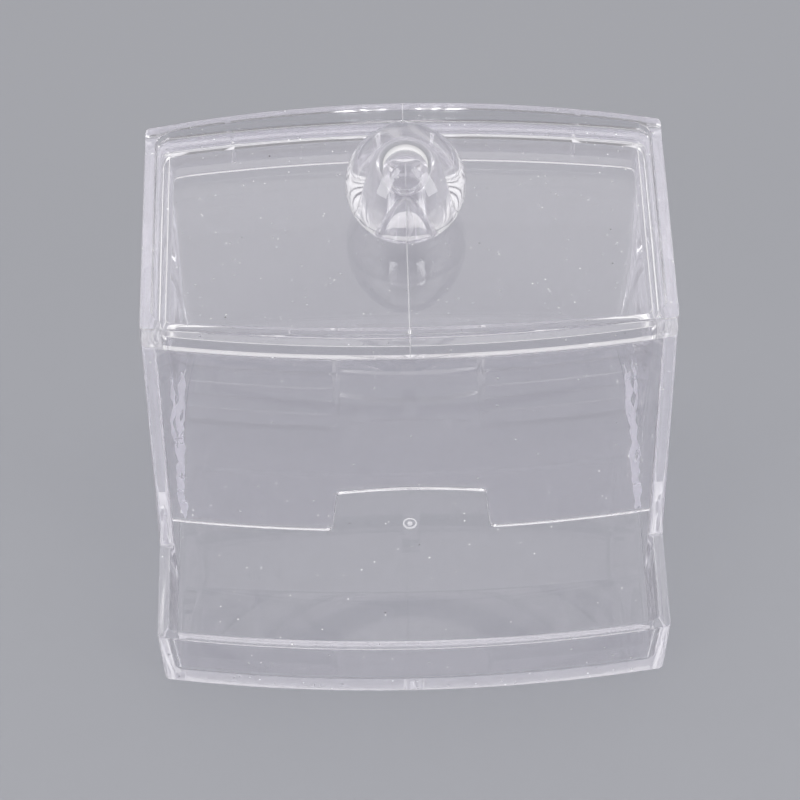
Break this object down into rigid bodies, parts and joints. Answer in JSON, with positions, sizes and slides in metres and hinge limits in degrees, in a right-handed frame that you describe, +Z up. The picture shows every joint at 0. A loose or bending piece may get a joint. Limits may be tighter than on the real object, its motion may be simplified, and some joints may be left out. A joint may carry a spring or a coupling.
{
  "type": "cotton swab dispenser",
  "caption": "Clear plastic swab dispenser: a hopper whose bowed front panel stops short of an open tray, closed by a lift-off lid with a ball knob.",
  "frame": {"origin": "middle of the footprint, on the surface that the dispenser stands on", "axes": "+Z up, -Y towards the tray at the front, +X to the right seen from the front"},
  "size_m": [0.095, 0.0814, 0.0888],
  "materials": {
    "body_plastic": "clear moulded polystyrene, polished",
    "panel_plastic": "clear moulded polystyrene, polished",
    "cement": "clear solvent cement, set in a wavy bead",
    "lid_plastic": "clear moulded polystyrene, polished",
    "knob_plastic": "clear moulded polystyrene, polished"
  },
  "bodies": {
    "body": {"body_shell": "body_plastic", "front_panel": "panel_plastic", "cement_bead_left": "cement", "cement_bead_right": "cement"},
    "lid": {"lid": "lid_plastic", "knob": "knob_plastic"}
  },
  "joints": [
    {"name": "lid_lift", "type": "slide", "parent": "body", "child": "lid", "axis": [0, 0, 1], "range_m": [0, 0.04]}
  ]
}
